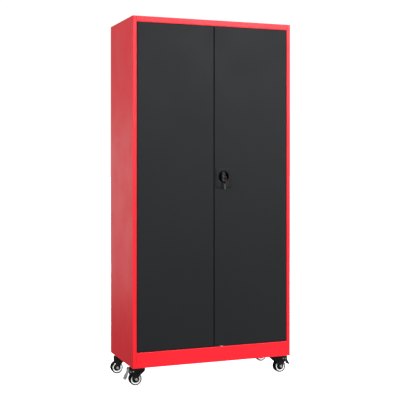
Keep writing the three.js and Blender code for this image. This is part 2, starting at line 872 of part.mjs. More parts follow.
// Fork: two legs under a crown, with the swivel race on top and the brake's cross pins
function fork(name, way, braked) {
  const crown = block(-forkFront, forkBack - forkGauge, -legOuter, legOuter, crownBottom, crownTop);
  const parts = [
    forkLeg(braked, legInner),
    forkLeg(braked, -legOuter),
    crown,
    rod(raceRadius, crownTop - weld, raceTop, raceFacets, true),
  ];
  if (braked) {
    const crossPin = rod(brakePinRadius, -legOuter + weld, legOuter - weld, pinFacets, false);
    parts.push(crossPin.translate(pivotTrail, 0, -pivotDrop));
    parts.push(crossPin.translate(stopPinTrail, 0, -stopPinDrop));
  }
  const kingpinHole = kingpinRadius + runningGap;
  const kingpinBore = rod(kingpinHole, crownBottom - overrun, raceTop + overrun, pinFacets, true);
  const axleBore = rod(axleRadius + seat, -legOuter - overrun, legOuter + overrun, pinFacets, false);
  const solid = cut(joined(...parts), kingpinBore, axleBore.translate(trail, 0, axleZ));
  return piece(name, facing(solid, way), blackSteel);
}

// Caster pieces are drawn trailing towards +X and mirrored for the left side
const facing = (solid, way) => (way < 0 ? solid.mirror([1, 0, 0]) : solid);

function axle(name, way) {
  const grip = legOuter + seat;
  const profile = [
    [0, -grip - axleHeadHeight],
    [axleHeadRadius, -grip - axleHeadHeight],
    [axleHeadRadius, -grip],
    [axleRadius, -grip],
    [axleRadius, grip],
    [axleHeadRadius, grip],
    [axleHeadRadius, grip + axleHeadHeight],
    [0, grip + axleHeadHeight],
  ];
  return piece(name, revolve(profile, pinFacets, false).translate(way * trail, 0, axleZ), zincSteel);
}

function tyre(name, way) {
  const half = wheelWidth / 2;
  const profile = [
    [tyreRadius + seat, -half + rimDish],
    [wheelRadius - tyreCrown, -half],
    [wheelRadius, -half + 2 * tyreCrown],
    [wheelRadius, half - 2 * tyreCrown],
    [wheelRadius - tyreCrown, half],
    [tyreRadius + seat, half - rimDish],
  ];
  return piece(name, revolve(profile, wheelFacets, false).translate(way * trail, 0, axleZ), tyreRubber);
}

function wheelRim(name, way) {
  const half = wheelWidth / 2;
  const profile = [
    [rimRadius, -half + 2 * rimDish],
    [tyreRadius, -half + rimDish],
    [tyreRadius, half - rimDish],
    [rimRadius, half - 2 * rimDish],
  ];
  return piece(name, revolve(profile, wheelFacets, false).translate(way * trail, 0, axleZ), whiteNylon);
}

function wheelHub(name, way) {
  const half = wheelWidth / 2;
  const profile = [
    [axleRadius + runningGap, -half - hubProud],
    [hubFaceRadius, -half - hubProud],
    [rimRadius - seat, -half + rimDish],
    [rimRadius - seat, half - rimDish],
    [hubFaceRadius, half + hubProud],
    [axleRadius + runningGap, half + hubProud],
  ];
  return piece(name, revolve(profile, wheelFacets, false).translate(way * trail, 0, axleZ), blackPlastic);
}

// Brake pedal: a steep foot plate, wider at its tip, with an eye on the pivot and a shoe over the tread
function brakePedal(name, way) {
  const top = new THREE.Vector2(pedalTopTrail, -pedalTopDrop);
  const tip = new THREE.Vector2(pedalTipTrail, -pedalTipDrop);
  const along = tip.clone().sub(top).normalize();
  const inward = new THREE.Vector2(along.y, -along.x).multiplyScalar(pedalGauge);
  const step = tip.clone().lerp(top, pedalTipShare);
  const plate = (from, to) => [from, to, to.clone().add(inward), from.clone().add(inward)];
  const onTread = (angle) => {
    const reach = wheelRadius + shoeGap;
    return [trail + reach * Math.cos(angle), axleZ + reach * Math.sin(angle)];
  };
  const shoe = points(
    onTread(shoeOuterAngle),
    onTread(shoeInnerAngle),
    [pivotTrail - brakePinRadius, -pivotDrop],
    [pivotTrail + brakePinRadius, -pivotDrop],
  );
  const web = points(
    [pivotTrail, -pivotDrop + pedalEyeRadius],
    [pedalTopTrail + pedalGauge, -pivotDrop + pedalEyeRadius],
    [pedalTopTrail + 2 * pedalGauge, -pivotDrop - pedalEyeRadius],
    [pivotTrail, -pivotDrop - pedalEyeRadius],
  );
  const half = pedalCoreWidth / 2;
  const solid = joined(
    prismY(plate(top, tip), -pedalWidth / 2, pedalWidth / 2),
    prismY(plate(step, tip), -pedalTipWidth / 2, pedalTipWidth / 2),
    prismY(shoe, -half, half),
    prismY(web, -half, half),
    rod(pedalEyeRadius, -half, half, pinFacets, false).translate(pivotTrail, 0, -pivotDrop),
  );
  const eye = rod(brakePinRadius + runningGap, -half - overrun, half + overrun, pinFacets, false);
  return piece(name, facing(cut(solid, eye.translate(pivotTrail, 0, -pivotDrop)), way), pedalSteel);
}

// One caster at its place, named for its corner; only the front pair has brakes
function caster(corner, way, y, inset, braked) {
  const group = new THREE.Group();
  group.position.set(way * (side - inset), y, 0);
  group.add(
    casterPlate(`${corner}_caster_plate`),
    fork(`${corner}_fork`, way, braked),
    axle(`${corner}_axle`, way),
    tyre(`${corner}_tyre`, way),
    wheelRim(`${corner}_wheel_rim`, way),
    wheelHub(`${corner}_wheel_hub`, way),
  );
  if (braked) group.add(brakePedal(`${corner}_brake_pedal`, way));
  return group;
}

function casters() {
  const group = new THREE.Group();
  const frontY = front + frontAxisSetback;
  const rearY = back - rearAxisSetback;
  group.add(
    caster("front_left", -1, frontY, frontInset, true),
    caster("front_right", 1, frontY, frontInset, true),
    caster("rear_left", -1, rearY, rearInset, false),
    caster("rear_right", 1, rearY, rearInset, false),
  );
  return group;
}

function shelfPosts() {
  const group = new THREE.Group();
  group.add(
    shelfPost("front_left_shelf_post", -1, frontPostY),
    shelfPost("front_right_shelf_post", 1, frontPostY),
    shelfPost("rear_left_shelf_post", -1, rearPostY),
    shelfPost("rear_right_shelf_post", 1, rearPostY),
  );
  return group;
}

function shelves() {
  const group = new THREE.Group();
  for (let index = 0; index < shelfCount; index += 1) group.add(shelf(index));
  return group;
}

function carcass() {
  const group = new THREE.Group();
  group.add(
    sidePanel("left_side_panel", -1),
    sidePanel("right_side_panel", 1),
    backPanel(),
    topPanel(),
    kickPanel(),
    floorPanel(),
    frontRail(),
    rearRail(),
  );
  return group;
}

function doors() {
  const group = new THREE.Group();
  group.add(
    leftDoor(),
    rightDoor(),
    doorStiffener("left_door_stiffener", -1),
    doorStiffener("right_door_stiffener", 1),
    hingePin("upper_left_hinge_pin", -1, false),
    hingePin("upper_right_hinge_pin", 1, false),
    hingePin("lower_left_hinge_pin", -1, true),
    hingePin("lower_right_hinge_pin", 1, true),
  );
  return group;
}

function lock() {
  const group = new THREE.Group();
  group.add(
    lockHousing(),
    turnHandle(),
    keyCylinder(),
    insertedKey(),
    keyRing(),
    spareKey(),
    lockCam(),
    lockRod("upper_lock_rod", 1),
    lockRod("lower_lock_rod", -1),
    rodGuide(),
  );
  return group;
}

// The origin lies on the floor below the middle of the outer box, which the keys make deeper
const cabinet = new THREE.Group();
cabinet.position.set(0, depthCentreShift, casterHeight);
cabinet.add(carcass(), shelfPosts(), shelves(), doors(), lock(), casters());

export default cabinet;
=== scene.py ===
import json
from math import atan2, cos, pi, radians, sin

import bmesh
import bpy
from mathutils import Matrix, Vector


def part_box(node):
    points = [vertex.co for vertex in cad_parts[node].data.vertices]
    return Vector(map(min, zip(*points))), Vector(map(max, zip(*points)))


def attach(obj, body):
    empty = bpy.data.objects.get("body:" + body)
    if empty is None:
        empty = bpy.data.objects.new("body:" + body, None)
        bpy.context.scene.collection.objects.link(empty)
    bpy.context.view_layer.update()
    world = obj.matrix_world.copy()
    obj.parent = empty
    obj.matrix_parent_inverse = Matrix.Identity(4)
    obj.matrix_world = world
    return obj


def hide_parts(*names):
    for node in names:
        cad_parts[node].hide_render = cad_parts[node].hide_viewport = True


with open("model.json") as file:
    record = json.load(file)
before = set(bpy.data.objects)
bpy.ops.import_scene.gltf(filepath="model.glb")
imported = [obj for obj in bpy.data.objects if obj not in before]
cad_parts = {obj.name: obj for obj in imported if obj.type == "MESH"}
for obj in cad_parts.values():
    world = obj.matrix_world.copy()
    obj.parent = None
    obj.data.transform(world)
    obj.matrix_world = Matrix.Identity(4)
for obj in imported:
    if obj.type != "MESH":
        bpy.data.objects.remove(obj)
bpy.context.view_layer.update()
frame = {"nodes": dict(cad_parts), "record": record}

# Looks of a rolling storage cabinet. Its pieces are drawn in millimetres and placed in metres.
MM = 0.001
CORNERS = ("front_left", "front_right", "rear_left", "rear_right")
BRAKED = ("front_left", "front_right")
BODY_UNDERSIDE = 0.1


def centre(node):
    low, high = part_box(node)
    return (low + high) / 2


# The doors' front plane, and the point where the lock's axis crosses it
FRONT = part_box("left_door_panel")[0].y
LOCK = Vector((centre("key_cylinder").x, FRONT, centre("key_cylinder").z))

# Camera, matched to the six visible corners of the body
CAMERA_PLACE = (-1.749, -4.218, 1.148)
CAMERA_HEADING = -19.49
CAMERA_LENS = 74.92
CAMERA_SHIFT = (0.1085, -0.0925)


def make_camera():
    data = bpy.data.cameras.new("camera")
    data.sensor_width = 36
    data.lens = CAMERA_LENS
    data.shift_x, data.shift_y = CAMERA_SHIFT
    made = bpy.data.objects.new("camera", data)
    made.location = CAMERA_PLACE
    made.rotation_euler = (radians(90), 0, radians(CAMERA_HEADING))
    bpy.context.scene.collection.objects.link(made)
    bpy.context.scene.camera = made


make_camera()

# Materials. These are the sockets of a Mix node that take its two colours and give the mixed one.
MIX_FIRST = 6
MIX_SECOND = 7
MIX_COLOUR = 2


def scaled(colour, share):
    return (colour[0] * share, colour[1] * share, colour[2] * share, 1)


class Finish:
    """A Principled material whose detail comes from noise in the piece's own space.

    A noise's scale counts its features per metre, and a bump's distance is in metres.
    """

    def __init__(self, name, **constants):
        self.material = bpy.data.materials.new(name)
        self.material.use_nodes = True
        self.tree = self.material.node_tree
        self.shader = self.tree.nodes["Principled BSDF"]
        for socket, value in constants.items():
            self.shader.inputs[socket.replace("_", " ")].default_value = value
        self.space = self.node("ShaderNodeTexCoord").outputs["Object"]
        self.relief = None

    def node(self, kind, settings=None, **inputs):
        made = self.tree.nodes.new(kind)
        for key, value in (settings or {}).items():
            setattr(made, key, value)
        for key, value in inputs.items():
            self.join(value, made.inputs[key.replace("_", " ")])
        return made

    def join(self, value, socket):
        if isinstance(value, bpy.types.NodeSocket):
            self.tree.links.new(value, socket)
        else:
            socket.default_value = value

    def stretched(self, scale):
        return self.node("ShaderNodeMapping", Vector=self.space, Scale=scale).outputs["Vector"]

    def noise(self, scale, detail=4, roughness=0.55, vector=None):
        made = self.node(
            "ShaderNodeTexNoise",
            Vector=vector or self.space, Scale=scale, Detail=detail, Roughness=roughness,
        )
        return made.outputs["Fac"]

    def speckle(self, scale):
        made = self.node("ShaderNodeTexVoronoi", Vector=self.space, Scale=scale)
        return made.outputs["Distance"]

    def ranged(self, value, low, high, start=0.3, end=0.7):
        made = self.node(
            "ShaderNodeMapRange",
            Value=value, From_Min=start, From_Max=end, To_Min=low, To_Max=high,
        )
        return made.outputs["Result"]

    def times(self, first, second):
        made = self.node("ShaderNodeMath", {"operation": "MULTIPLY"})
        self.join(first, made.inputs[0])
        self.join(second, made.inputs[1])
        return made.outputs["Value"]

    def blend(self, share, first, second):
        made = self.node("ShaderNodeMix", {"data_type": "RGBA"})
        self.join(share, made.inputs[0])
        self.join(first, made.inputs[MIX_FIRST])
        self.join(second, made.inputs[MIX_SECOND])
        return made.outputs[MIX_COLOUR]

    def bump(self, height, strength, distance):
        made = self.node("ShaderNodeBump", Height=height, Strength=strength, Distance=distance)
        if self.relief:
            self.join(self.relief, made.inputs["Normal"])
        self.relief = made.outputs["Normal"]
        self.join(self.relief, self.shader.inputs["Normal"])

    def colour(self, value):
        self.join(value, self.shader.inputs["Base Color"])

    def roughness(self, value):
        self.join(value, self.shader.inputs["Roughness"])


def powder_coat(name, colour, gloss, peel, **constants):
    """Baked powder paint: an orange-peel skin, faint clouding and a slow change of gloss."""
    made = Finish(name, **constants)
    cloud = made.noise(2.2, detail=3)
    grain = made.noise(260, detail=2)
    tone = made.blend(made.ranged(cloud, 0, 1), scaled(colour, 0.95), scaled(colour, 1.05))
    fleck = made.blend(made.ranged(grain, 0, 1), scaled(colour, 0.9), scaled(colour, 1.1))
    made.colour(made.blend(0.35, tone, fleck))
    made.roughness(made.ranged(made.noise(7, detail=5), gloss[0], gloss[1]))
    made.bump(made.noise(620, detail=2), peel, 0.00025)
    made.bump(made.noise(3.1, detail=1), 0.06, 0.002)
    return made.material


def moulded_plastic(name, colour, gloss, shine=0.45):
    """Injection moulding with a fine spark-eroded skin."""
    made = Finish(name, Specular_IOR_Level=shine)
    cloud = made.ranged(made.noise(90), 0, 1)
    made.colour(made.blend(cloud, scaled(colour, 0.85), scaled(colour, 1.15)))
    made.roughness(made.ranged(made.noise(500), gloss[0], gloss[1]))
    made.bump(made.noise(2600, detail=3), 0.22, 0.00012)
    return made.material


def coated_steel(name, colour, gloss, metal):
    """Pressed steel under a thin dip coat that thins and scuffs in places."""
    made = Finish(name, Metallic=metal, Specular_IOR_Level=0.5)
    scuff = made.ranged(made.noise(140, detail=8, roughness=0.7), 0, 1, 0.6, 0.78)
    cloud = made.blend(made.ranged(made.noise(30), 0, 1), scaled(colour, 0.8), scaled(colour, 1.2))
    made.colour(made.blend(made.times(scuff, 0.35), cloud, scaled(colour, 2.4)))
    made.roughness(made.ranged(made.noise(75, detail=6), gloss[0], gloss[1]))
    made.bump(made.noise(420, detail=4), 0.16, 0.0002)
    return made.material


def plated_steel(name, colour, gloss):
    """Bright zinc plate: drawn lines, a faint spangle and a passivated tint."""
    made = Finish(name, Metallic=0.75)
    tint = (colour[0] * 1.05, colour[1], colour[2] * 0.88, 1)
    haze = made.ranged(made.noise(60, detail=5), 0, 1)
    made.colour(made.blend(haze, colour, tint))
    drawn = made.noise(90, detail=6, vector=made.stretched((30, 30, 1)))
    made.roughness(made.ranged(drawn, gloss[0], gloss[1]))
    made.bump(drawn, 0.12, 0.0001)
    made.bump(made.speckle(700), 0.06, 0.0001)
    return made.material


def tyre_rubber(name, colour):
    """Vulcanised rubber, dusty where it rolls."""
    made = Finish(name, Specular_IOR_Level=0.12)
    dust = made.ranged(made.noise(160, detail=7, roughness=0.7), 0, 1, 0.5, 0.75)
    made.colour(made.blend(made.times(dust, 0.3), colour, scaled(colour, 2)))
    made.roughness(made.ranged(made.noise(220), 0.62, 0.82))
    made.bump(made.noise(1500, detail=4), 0.3, 0.0002)
    return made.material


def cast_nylon(name, colour):
    """White nylon: slightly translucent, with flow marks and a satin skin."""
    made = Finish(name, Subsurface_Weight=0.08, Subsurface_Scale=0.002)
    flow = made.noise(45, detail=3, vector=made.stretched((1, 3, 1)))
    made.colour(made.blend(made.ranged(flow, 0, 1), colour, scaled(colour, 0.93)))
    made.roughness(made.ranged(made.noise(300), 0.36, 0.5))
    made.bump(made.noise(1100, detail=3), 0.12, 0.0001)
    return made.material


RED = powder_coat(
    "red_powder_coat", (0.88, 0.016, 0.028), (0.3, 0.4), 0.1,
    Specular_IOR_Level=0.5,
)
CHARCOAL = powder_coat(
    "charcoal_powder_coat", (0.0145, 0.0151, 0.0162), (0.42, 0.52), 0.16,
    Specular_IOR_Level=0.25,
)
LOCK_BLACK = moulded_plastic("lock_black_moulding", (0.014, 0.0145, 0.0155, 1), (0.42, 0.55))
PLATE_BLACK = moulded_plastic("lock_plate_moulding", (0.0148, 0.0152, 0.016, 1), (0.45, 0.58), 0.25)
# The cup and the disc at its bottom are in a far darker black than the plate of the same moulding:
# painted shade of the recess.
RECESS_SHADE_BLACK = moulded_plastic("lock_cup_painted_shade", (0.003, 0.003, 0.0032, 1), (0.5, 0.65), 0.2)
# Near-black for pieces that stand in for shade: painted shade in the gap under the doors and a
# painted shadow line round the lock plate.
PAINTED_SHADE_BLACK = moulded_plastic("painted_shade_black", (0.003, 0.003, 0.0032, 1), (0.6, 0.75))
HUB_BLACK = moulded_plastic("hub_black_moulding", (0.006, 0.0062, 0.0066, 1), (0.35, 0.5))
FORK_BLACK = coated_steel("fork_black_coat", (0.008, 0.0083, 0.0088, 1), (0.3, 0.45), 0.0)
PEDAL_GREY = coated_steel("pedal_grey_plate", (0.42, 0.405, 0.42, 1), (0.35, 0.5), 0.75)
ZINC = plated_steel("bright_zinc_plate", (0.82, 0.83, 0.84, 1), (0.2, 0.36))
KEY_NICKEL = plated_steel("key_nickel_plate", (0.36, 0.36, 0.37, 1), (0.26, 0.4))
RUBBER = tyre_rubber("black_tyre_rubber", (0.004, 0.004, 0.0043, 1))
NYLON = cast_nylon("white_nylon", (0.86, 0.86, 0.85, 1))
MARK_RED = moulded_plastic("red_mark_enamel", (0.55, 0.01, 0.02, 1), (0.25, 0.35))

SLOT_FINISH = {
    "red_paint": RED,
    "charcoal_paint": CHARCOAL,
    "black_plastic": LOCK_BLACK,
    "black_steel": FORK_BLACK,
    "zinc_steel": ZINC,
    "tyre_rubber": RUBBER,
    "white_nylon": NYLON,
    "pedal_steel": PEDAL_GREY,
}


def dress_nodes():
    """Each node's finish is its slot's, apart from the hinge pins, which are black."""
    for part in frame["record"]["subparts"]:
        node = part["node"]
        finish = FORK_BLACK if node.endswith("hinge_pin") else SLOT_FINISH[part["material_slot"]]
        for place in frame["nodes"][node].material_slots:
            place.material = finish


dress_nodes()


# Outlines: lists of points, in millimetres
def rectangle(left, low, right, high):
    return [(left, low), (right, low), (right, high), (left, high)]


def arc(cx, cz, radius, start, end, steps):
    """Points on a circle from one angle to another, in degrees."""
    turns = [radians(start + (end - start) * step / steps) for step in range(steps + 1)]
    return [(cx + radius * cos(turn), cz + radius * sin(turn)) for turn in turns]


def slot_outline(x, y, length, width):
    half = (length - width) / 2
    return arc(x + half, y, width / 2, -90, 90, 8) + arc(x - half, y, width / 2, 90, 270, 8)


def rounded(outline, radius=0, steps=5):
    """The outline with each corner drawn as an arc; a corner may give its own radius."""
    drawn = []
    for index, corner in enumerate(outline):
        here = Vector(corner[:2])
        size = corner[2] if len(corner) > 2 else radius
        before = Vector(outline[index - 1][:2]) - here
        after = Vector(outline[(index + 1) % len(outline)][:2]) - here
        if size == 0:
            drawn.append((corner[0], corner[1]))
            continue
        spread = before.angle(after)
        slope = abs(sin(spread / 2) / cos(spread / 2))
        setback = min(size / slope, before.length / 2.05, after.length / 2.05)
        reach = setback * slope / sin(spread / 2)
        middle = here + (before.normalized() + after.normalized()).normalized() * reach
        start = here + before.normalized() * setback - middle
        end = here + after.normalized() * setback - middle
        sweep = atan2(start.x * end.y - start.y * end.x, start.dot(end))
        for step in range(steps + 1):
            turn = Matrix.Rotation(sweep * step / steps, 2)
            drawn.append(tuple(middle + turn @ start))
    return drawn


def both_sides(half):
    """A profile that mirrors its one half, given as (radius, distance from the middle)."""
    near = [(radius, -along) for radius, along in half]
    far = [(radius, along) for radius, along in reversed(half)]
    return near + far


# Shapes: each helper returns a bmesh in millimetres
def turned(profile, segments, axis="Y"):
    """Solid of revolution about Y or Z from a closed outline of (radius, along)."""
    shape = bmesh.new()
    rings = []
    for radius, along in profile:
        if radius == 0:
            rings.append([shape.verts.new((0, 0, along))] * segments)
            continue
        ring = []
        for step in range(segments):
            turn = 2 * pi * step / segments
            ring.append(shape.verts.new((radius * cos(turn), radius * sin(turn), along)))
        rings.append(ring)
    for low, high in zip(rings, rings[1:] + rings[:1]):
        for step in range(segments):
            after = (step + 1) % segments
            corners = [low[step], low[after], high[after], high[step]]
            face = list(dict.fromkeys(corners))
            if len(face) > 2:
                shape.faces.new(face)
    if axis == "Y":
        bmesh.ops.transform(shape, matrix=Matrix.Rotation(-pi / 2, 4, "X"), verts=shape.verts)
    return shape


def prism(outline, low, high, axis="Y"):
    """Solid from a flat outline: (x, z) carried along Y, (x, y) along Z or (y, z) along X."""
    shape = bmesh.new()
    place = {
        "Y": lambda u, v, w: (u, w, v),
        "Z": lambda u, v, w: (u, v, w),
        "X": lambda u, v, w: (w, u, v),
    }[axis]
    bottom = [shape.verts.new(place(u, v, low)) for u, v in outline]
    top = [shape.verts.new(place(u, v, high)) for u, v in outline]
    shape.faces.new(bottom)
    shape.faces.new(top)
    for index in range(len(outline)):
        after = (index + 1) % len(outline)
        shape.faces.new((bottom[index], bottom[after], top[after], top[index]))
    return shape


def disc(radius, low, high, segments, axis="Y"):
    return turned([(0, low), (radius, low), (radius, high), (0, high)], segments, axis)


def hexagon(across_flats, low, high, chamfer=0.7):
    """Hexagon head along Z, chamfered at its high end."""
    corner = across_flats / 2 / cos(pi / 6)
    crown = corner - 1.5 * chamfer
    profile = [(0, low), (corner, low), (corner, high - chamfer), (crown, high), (0, high)]
    return turned(profile, 6, "Z")


def moved(shape, x, y, z=0):
    bmesh.ops.translate(shape, vec=(x, y, z), verts=shape.verts)
    return shape


def spun(shape, angle, axis):
    bmesh.ops.rotate(shape, matrix=Matrix.Rotation(angle, 3, axis), verts=shape.verts)
    return shape


def gathered(*shapes):
    """Several closed shells as one shape."""
    whole = bmesh.new()
    for shape in shapes:
        held = bpy.data.meshes.new("held")
        bmesh.ops.recalc_face_normals(shape, faces=shape.faces)
        shape.to_mesh(held)
        shape.free()
        whole.from_mesh(held)
        bpy.data.meshes.remove(held)
    return whole


# Objects: shapes that modifiers work on before they are put in place
def loose(shape, name="loose"):
    """An object that isn't put in place yet."""
    bmesh.ops.recalc_face_normals(shape, faces=shape.faces)
    mesh = bpy.data.meshes.new(name)
    shape.to_mesh(mesh)
    shape.free()
    made = bpy.data.objects.new(name, mesh)
    bpy.context.scene.collection.objects.link(made)
    return made


def taken(made):
    """The loose object's shape; the object goes."""
    shape = bmesh.new()
    shape.from_mesh(made.data)
    bpy.data.objects.remove(made)
    return shape


def settled(made):
    """The object's mesh with its modifiers worked in."""
    bpy.context.view_layer.update()
    graph = bpy.context.evaluated_depsgraph_get()
    mesh = bpy.data.meshes.new_from_object(made.evaluated_get(graph))
    old = made.data
    made.modifiers.clear()
    made.data = mesh
    bpy.data.meshes.remove(old)
    return made


def combined(made, other, operation):
    tool = made.modifiers.new(operation, "BOOLEAN")
    tool.operation = operation
    tool.solver = "EXACT"
    tool.object = other
    settled(made)
    bpy.data.objects.remove(other)


def carve(made, *shapes):
    for shape in shapes:
        combined(made, loose(shape), "DIFFERENCE")


def unite(made, *shapes):
    for shape in shapes:
        combined(made, loose(shape), "UNION")


def bevelled(made, width, segments, angle=35):
    tool = made.modifiers.new("edges", "BEVEL")
    tool.width = width
    tool.segments = segments
    tool.limit_method = "ANGLE"
    tool.angle_limit = radians(angle)
    return settled(made)


def put(made, name, material, body, place, replaced=(), smooth=32):
    """Places a piece drawn in millimetres, gives it its material, ties it to its body and hides the
    CAD nodes that it replaces.

    Edges sharper than smooth, in degrees, stay sharp.
    """
    made.data.transform(place)
    shape = bmesh.new()
    shape.from_mesh(made.data)
    bmesh.ops.remove_doubles(shape, verts=shape.verts, dist=2e-6)
    bmesh.ops.recalc_face_normals(shape, faces=shape.faces)
    shape.to_mesh(made.data)
    shape.free()
    made.data.shade_smooth()
    made.data.set_sharp_from_angle(angle=radians(smooth))
    made.name = name
    made.data.name = name
    made.data.materials.clear()
    made.data.materials.append(material)
    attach(made, body)
    if replaced:
        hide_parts(*replaced)


def at(point, way=1):
    """From millimetres about a point to metres; way is -1 to mirror left and right."""
    return Matrix.Translation(point) @ Matrix.Diagonal((way * MM, MM, MM, 1))


# Casters, drawn trailing towards +X: the wheel and its bolt about the wheel's centre, and the rest
# about the swivel axis at the body's underside
TRAIL = 24
PLATE_HALF_LENGTH = 34
PLATE_HALF_WIDTH = 28
PLATE_TOP = -0.3
PLATE_BOTTOM = -3.3
BOLT_SPOTS = [(x, y) for x in (-25, 25) for y in (-19, 19)]
BOLT_SLOT = (11, 7)
BOLT_FLATS = 10
BOLT_WASHER = 0.8
CROWN_TOP = -8.8
CROWN_BOTTOM = -11.8
LEG_INNER = 19.5
LEG_OUTER = 22.5
BOSS_RADIUS = 12
# The strap before it is trimmed: where it starts and ends along X, and its legs' lower ends
BLANK = (-30, 75)
LEG_END = -95
AXLE_FLATS = 12
AXLE_WASHER = 0.9
SHOE_RADIUS = 33.5
WHEEL_FACETS = 96
WHEEL_SMOOTH = 40
# The braked fork's cross pins, as (x, z): the pedal turns on the first
PIVOT = (53, -27)
STOP = (39, -26)


def caster_places(corner):
    """The swivel axis at the body's underside, the wheel's centre, and the way the caster trails."""
    swivel = centre(f"{corner}_caster_plate")
    wheel = centre(f"{corner}_tyre")
    way = 1 if wheel.x > swivel.x else -1
    return Vector((swivel.x, swivel.y, BODY_UNDERSIDE)), wheel, way


def mount_plate(corner, axis, way):
    edge = rectangle(-PLATE_HALF_LENGTH, -PLATE_HALF_WIDTH, PLATE_HALF_LENGTH, PLATE_HALF_WIDTH)
    made = loose(prism(rounded(edge, 5), PLATE_BOTTOM, PLATE_TOP, "Z"))
    for x, y in BOLT_SPOTS:
        carve(made, prism(slot_outline(x, y, *BOLT_SLOT), PLATE_BOTTOM - 2, PLATE_TOP + 2, "Z"))
    bevelled(made, 0.5, 2)
    race = [(0, -3.5), (19.5, -3.5), (20.5, -3.1), (20.5, -2.5), (0, -2.5)]
    kingpin = [
        (0, -16), (5, -16), (7.4, -14.8), (8, -13), (8, CROWN_BOTTOM - 0.3),
        (5, CROWN_BOTTOM - 0.3), (5, -2.6), (0, -2.6),
    ]
    unite(made, turned(race, 48, "Z"), turned(kingpin, 32, "Z"))
    put(
        made, f"{corner}_mount_plate", FORK_BLACK, "cabinet",
        at(axis, way), [f"{corner}_caster_plate"],
    )


def mount_bolts(corner, axis, way):
    seat = PLATE_BOTTOM - BOLT_WASHER
    shells = []
    for x, y in BOLT_SPOTS:
        washer = disc(5.8, seat, PLATE_BOTTOM, 24, "Z")
        head = hexagon(BOLT_FLATS, 0, 3.4)
        bmesh.ops.scale(head, vec=(1, 1, -1), verts=head.verts)
        nut = hexagon(BOLT_FLATS, 1.2, 6.2)
        shank = disc(3, seat - 0.1, 8, 16, "Z")
        shells += [
            moved(washer, x, y), moved(head, x, y, seat), moved(nut, x, y), moved(shank, x, y),
        ]
    put(
        loose(gathered(*shells)), f"{corner}_mount_bolts", ZINC, "cabinet",
        at(axis, way),
    )


def leg_outline(braked, axle_z):
    """A fork leg seen from its side, with room for the pedal's pivot where it is braked."""
    plain_rear = [(36, CROWN_TOP, 4), (34, -40, 8)]
    brake_rear = [(63, CROWN_TOP, 4), (63, -38.8, 5), (50, -38.8, 3)]
    rear = brake_rear if braked else plain_rear
    boss = [(x, z, 0) for x, z in arc(TRAIL, axle_z, BOSS_RADIUS, 0, -216, 28)]
    return rounded([(-24, CROWN_TOP, 2)] + rear + boss + [(1, -46, 6), (-24, -25.5, 6)])


def strap_line(half, top, bend):
    """One face of the strap that the fork is bent from: up one leg and down the other."""
    corners = [(-half, LEG_END, 0), (-half, top, bend), (half, top, bend), (half, LEG_END, 0)]
    return rounded(corners, steps=7)


def fork(corner, axis, axle_z, way):
    """A strap bent to a U and trimmed to the legs, with a domed race and two axle bosses."""
    braked = corner in BRAKED
    strap = strap_line(LEG_OUTER, CROWN_TOP, 6) + strap_line(-LEG_INNER, CROWN_BOTTOM, 3)
    made = loose(prism(strap, *BLANK, "X"))
    combined(made, loose(prism(leg_outline(braked, axle_z), -30, 30)), "INTERSECT")
    if braked:
        # Behind this the crown is open, for the pedal between the legs
        carve(made, prism(rectangle(43, -60, 80, 5), -LEG_INNER, LEG_INNER))
    bevelled(made, 0.5, 2, 40)
    dome = [
        (6, -12), (6, -5.6), (8, -4.4), (15, -4), (18, -4.6),
        (20.2, -6.6), (21.5, -8.7), (21.5, -10), (19, -12),
    ]
    boss = [
        (4.4, LEG_INNER + 0.5), (9, LEG_INNER + 0.5), (9.5, LEG_OUTER + 0.1),
        (8.6, LEG_OUTER + 0.4), (4.4, LEG_OUTER + 0.4),
    ]
    other_boss = [(radius, -along) for radius, along in boss]
    unite(made, turned(dome, 48, "Z"))
    for profile in (boss, other_boss):
        unite(made, moved(turned(profile, 32), TRAIL, 0, axle_z))
    put(
        made, f"{corner}_pressed_fork", FORK_BLACK, f"{corner}_swivel",
        at(axis, way), [f"{corner}_fork"],
    )


def cross_pins(corner, axis, way):
    half = [
        (0, LEG_OUTER + 1.9), (1.6, LEG_OUTER + 1.7), (3, LEG_OUTER + 1),
        (3.6, LEG_OUTER + 0.1), (2.4, LEG_OUTER + 0.1),
    ]
    pins = [moved(turned(both_sides(half), 24), x, 0, z) for x, z in (PIVOT, STOP)]
    put(
        loose(gathered(*pins)), f"{corner}_cross_pins", ZINC, f"{corner}_swivel",
        at(axis, way),
    )


def swivel_seal(corner, axis, way):
    ring = [(20.4, -8.4), (21.8, -8.4), (22.4, -7.6), (21.6, -6.8), (20.6, -6.6)]
    put(
        loose(turned(ring, 48, "Z")), f"{corner}_race_seal", ZINC, f"{corner}_swivel",
        at(axis, way),
    )


def axle_bolt(corner, wheel, way):
    """Drawn along Z and laid over: the head ends at -Y, the nut with the bolt's tail at +Y."""
    near = LEG_OUTER + 0.5
    seat = near + AXLE_WASHER
    head = [
        moved(hexagon(AXLE_FLATS, 0, 4.2, 0.9), 0, 0, seat),
        disc(7, near, seat, 32, "Z"),
    ]
    tail = [
        (0, near + 4), (5, near + 4), (4.7, near + 4.8),
        (3.2, near + 4.9), (3, near + 5.4), (0, near + 5.5),
    ]
    nut = [
        moved(hexagon(AXLE_FLATS, 0, 3.2, 0.4), 0, 0, seat),
        disc(7, near, seat, 32, "Z"),
        turned(tail, 24, "Z"),
    ]
    shells = [spun(shape, pi / 2, "X") for shape in head]
    shells += [spun(shape, -pi / 2, "X") for shape in nut]
    shells.append(disc(4, -near - 0.5, near + 0.5, 24))
    put(
        loose(gathered(*shells)), f"{corner}_axle_bolt", ZINC, f"{corner}_swivel",
        at(wheel, way), [f"{corner}_axle"],
    )


